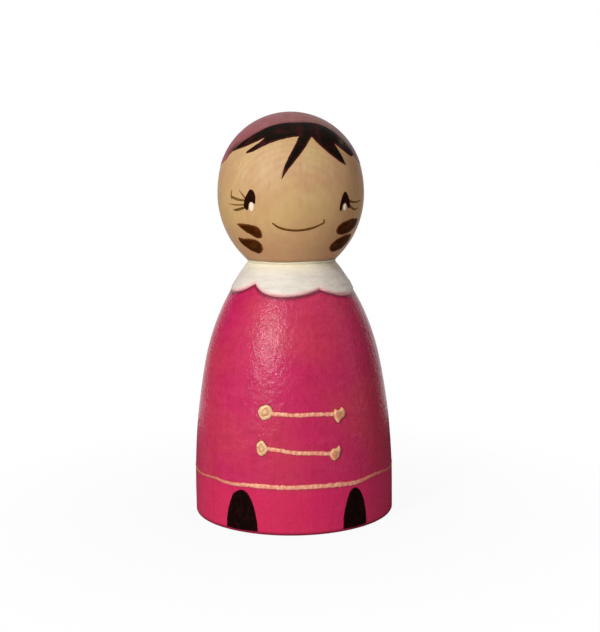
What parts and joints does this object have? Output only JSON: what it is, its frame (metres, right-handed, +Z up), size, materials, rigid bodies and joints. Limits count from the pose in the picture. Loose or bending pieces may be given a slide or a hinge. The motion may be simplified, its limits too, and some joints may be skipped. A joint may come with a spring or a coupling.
{
  "type": "peg doll",
  "caption": "Turned wooden peg doll: round head on a bell-shaped body, hand-painted with hood, hair, face, scalloped collar, coat with toggle bars, hem line and shoes.",
  "frame": {"origin": "centre of the flat underside, on the turning axis", "axes": "+Z up along the turning axis, -Y the way the face looks, +X to the right of someone who looks at the face"},
  "size_m": [0.0456, 0.0456, 0.0901],
  "materials": {
    "wood": "satin",
    "dowel_wood": "matte",
    "pink_paint": "satin",
    "cream_paint": "matte",
    "plum_paint": "matte",
    "gold_paint": "satin",
    "black_paint": "satin",
    "brown_paint": "matte",
    "white_paint": "matte"
  },
  "bodies": {
    "root": {"body": "wood", "head": "wood", "neck_dowel": "dowel_wood", "coat_paint": "pink_paint", "collar_paint": "cream_paint", "hem_line": "gold_paint", "upper_frog": "gold_paint", "lower_frog": "gold_paint", "left_shoe": "black_paint", "right_shoe": "black_paint", "hood_paint": "plum_paint", "hair_paint": "black_paint", "left_eye": "black_paint", "right_eye": "black_paint", "left_eye_light": "white_paint", "right_eye_light": "white_paint", "left_lashes": "brown_paint", "right_lashes": "brown_paint", "smile": "brown_paint", "left_cheek_strokes": "brown_paint", "right_cheek_strokes": "brown_paint"}
  },
  "joints": []
}
